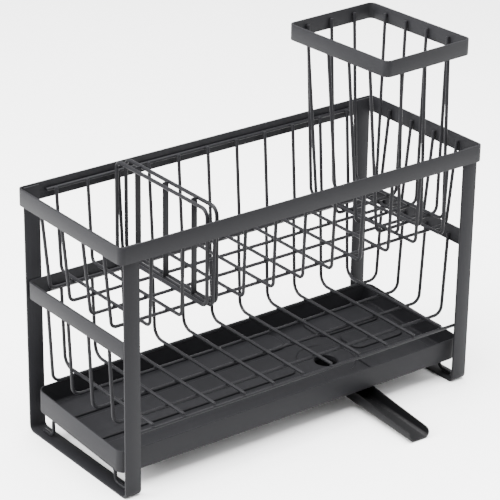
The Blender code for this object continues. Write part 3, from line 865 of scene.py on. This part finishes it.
# ---- cutlery basket -----------------------------------------------------
class RACK_OT_cutlery_basket(bpy.types.Operator):
    """Bend the cutlery basket's rim and the tapering wires below it"""

    bl_idname = "rack.cutlery_basket"
    bl_label = "Cutlery Basket"

    def execute(self, context):
        cutlery = context.scene.rack_cutlery
        strip_coat, wire_coat = finishes()[:2]
        low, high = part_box("cutlery_rim")
        place = Matrix.Translation(((low.x + high.x) / 2, (low.y + high.y) / 2, 0))
        place = place @ Matrix.Rotation(cutlery.turn, 4, "Z")
        half_x, half_y = cutlery.long / 2, cutlery.deep / 2
        rim = bar_band("cutlery_rim_bar", (-half_x, -half_y, low.z), (half_x, half_y, high.z),
                       cutlery.corner, lambda face: abs(face.normal.z) > FACING, lambda edge: along(edge, 2))
        settle(rim, place)
        finish(rim, "cutlery_basket", "cutlery_rim", strip_coat)
        inset = context.scene.rack_strip.thick + CLEARANCE + wire_radius()
        halves = (half_x - inset, half_y - inset)
        for stem, run, pitch in (("cutlery_across_wire_", 0, cutlery.across_pitch),
                                 ("cutlery_along_wire_", 1, cutlery.along_pitch)):
            names = numbered(stem)
            for index, name in enumerate(names):
                at = (index - (len(names) - 1) / 2) * pitch + cutlery.wire_shift[1 - run]
                piece = self.basket_wire(name, run, at, halves[run], high.z - cutlery.end_drop)
                settle(piece, place)
                finish(piece, "cutlery_basket", name, wire_coat)
        return {"FINISHED"}

    def basket_wire(self, name, run, at, reach, top):
        """A tapering U wire about the middle of the basket's rim, at a place along its side."""
        cutlery = bpy.context.scene.rack_cutlery
        taper = (cutlery.end_taper, cutlery.side_taper)[run]
        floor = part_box(name)[0].z + wire_radius()
        shift = Vector((*cutlery.floor_shift, 0))
        corners = []
        for sign in (-1, 1):
            rim_end = Vector((0, 0, top))
            rim_end[run], rim_end[1 - run] = sign * reach, at
            floor_end = Vector((0, 0, floor)) + shift
            floor_end[run] += sign * (reach - taper)
            floor_end[1 - run] += at
            corners += [rim_end, floor_end][::-sign]
        return bent_wire(name + "_drawn", corners, wire_radius(), cutlery.bend)


# ---- stage --------------------------------------------------------------
RACK_MIDDLE = Vector((0.0, 0.0, 0.2))  # what the lights look at
FLOOR_SIZE = 40.0


def towards(azimuth, elevation):
    """The direction of a place round the rack: 0 is the front, and a quarter turn the right-hand end."""
    return Vector((sin(azimuth) * cos(elevation), -cos(azimuth) * cos(elevation), sin(elevation)))


def aim(item, back, roll=0.0):
    """Turn a camera or light so that its back points along a direction."""
    turn = back.normalized().to_track_quat("Z", "Y").to_matrix() @ Matrix.Rotation(roll, 3, "Z")
    item.rotation_euler = turn.to_euler()


def soft_box(name, azimuth, elevation, distance, size, watts):
    """A square area light that looks at the rack, placed by angles in degrees."""
    light = bpy.data.lights.new(name, "AREA")
    light.shape = "SQUARE"
    light.size = size
    light.energy = watts
    item = bpy.data.objects.new(name, light)
    bpy.context.scene.collection.objects.link(item)
    back = towards(radians(azimuth), radians(elevation))
    item.location = RACK_MIDDLE + back * distance
    aim(item, back)


class RACK_OT_stage(bpy.types.Operator):
    """Set up the floor, the light and the camera"""

    bl_idname = "rack.stage"
    bl_label = "Stage"

    def execute(self, context):
        stage = context.scene.rack_stage
        self.floor(stage.floor)
        self.surroundings()
        soft_box("top", azimuth=0, elevation=90, distance=2.6, size=3.2, watts=520)
        soft_box("key", azimuth=-104, elevation=30, distance=2.6, size=1.8, watts=230)
        soft_box("fill", azimuth=66, elevation=16, distance=1.1, size=0.6, watts=9)
        self.camera(stage)
        return {"FINISHED"}

    def floor(self, shade):
        """A plain matt floor that reaches past what the camera sees."""
        bpy.ops.mesh.primitive_plane_add(size=FLOOR_SIZE, location=(0, 0, 0))
        plane = bpy.context.object
        plane.name = "floor"
        matt = bpy.data.materials.new("plain_floor")
        matt.use_nodes = True
        shader = matt.node_tree.nodes["Principled BSDF"]
        shader.inputs["Base Color"].default_value = (*shade, 1.0)
        shader.inputs["Roughness"].default_value = 0.9
        plane.data.materials.append(matt)
        plane.select_set(False)

    def surroundings(self):
        """Even white light from all round."""
        world = bpy.data.worlds.new("studio")
        bpy.context.scene.world = world
        world.use_nodes = True
        back = world.node_tree.nodes["Background"]
        back.inputs["Color"].default_value = (1.0, 1.0, 1.0, 1.0)
        back.inputs["Strength"].default_value = 1.0

    def camera(self, stage):
        """The camera, placed by angles round the point that it looks at."""
        data = bpy.data.cameras.new("camera")
        data.lens = stage.lens
        data.sensor_width = 36
        data.clip_start, data.clip_end = 0.1, 100
        item = bpy.data.objects.new("camera", data)
        bpy.context.scene.collection.objects.link(item)
        back = towards(stage.azimuth, stage.elevation)
        item.location = Vector(stage.target) + back * stage.distance
        aim(item, back, stage.roll)
        bpy.context.scene.camera = item


# ---- add-on -------------------------------------------------------------
SETTINGS = {
    "rack_wire": RackWireSettings,
    "rack_strip": RackStripSettings,
    "rack_tray": RackTraySettings,
    "rack_divider": RackDividerSettings,
    "rack_cutlery": RackCutlerySettings,
    "rack_finish": RackFinishSettings,
    "rack_stage": RackStageSettings,
}
OPERATORS = (
    RACK_OT_end_frames,
    RACK_OT_top_rim,
    RACK_OT_middle_band,
    RACK_OT_rails,
    RACK_OT_upper_basket,
    RACK_OT_lower_basket,
    RACK_OT_spot_welds,
    RACK_OT_tray_rests,
    RACK_OT_drip_tray,
    RACK_OT_drain_spout,
    RACK_OT_plate_divider,
    RACK_OT_cutlery_basket,
    RACK_OT_stage,
)


class RACK_PT_panel(bpy.types.Panel):
    """Sizes, colours and pieces of the dish drying rack"""

    bl_idname = "RACK_PT_panel"
    bl_label = "Dish Drying Rack"
    bl_space_type = "VIEW_3D"
    bl_region_type = "UI"
    bl_category = "Dish Rack"

    def draw(self, context):
        for name, settings in SETTINGS.items():
            group = getattr(context.scene, name)
            box = self.layout.box()
            box.label(text=name.replace("rack_", "").title())
            for key in settings.__annotations__:
                box.prop(group, key)
        for operator in OPERATORS:
            self.layout.operator(operator.bl_idname)


CLASSES = (*SETTINGS.values(), *OPERATORS, RACK_PT_panel)


def register():
    """Register the classes and give the scene its settings."""
    for cls in CLASSES:
        bpy.utils.register_class(cls)
    for name, settings in SETTINGS.items():
        setattr(bpy.types.Scene, name, PointerProperty(type=settings))


def unregister():
    """Take the settings and the classes away again."""
    for name in SETTINGS:
        delattr(bpy.types.Scene, name)
    for cls in reversed(CLASSES):
        bpy.utils.unregister_class(cls)


def main():
    """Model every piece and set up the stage."""
    register()
    for operator in OPERATORS:
        group, name = operator.bl_idname.split(".")
        getattr(getattr(bpy.ops, group), name)()


if __name__ == "__main__":
    main()
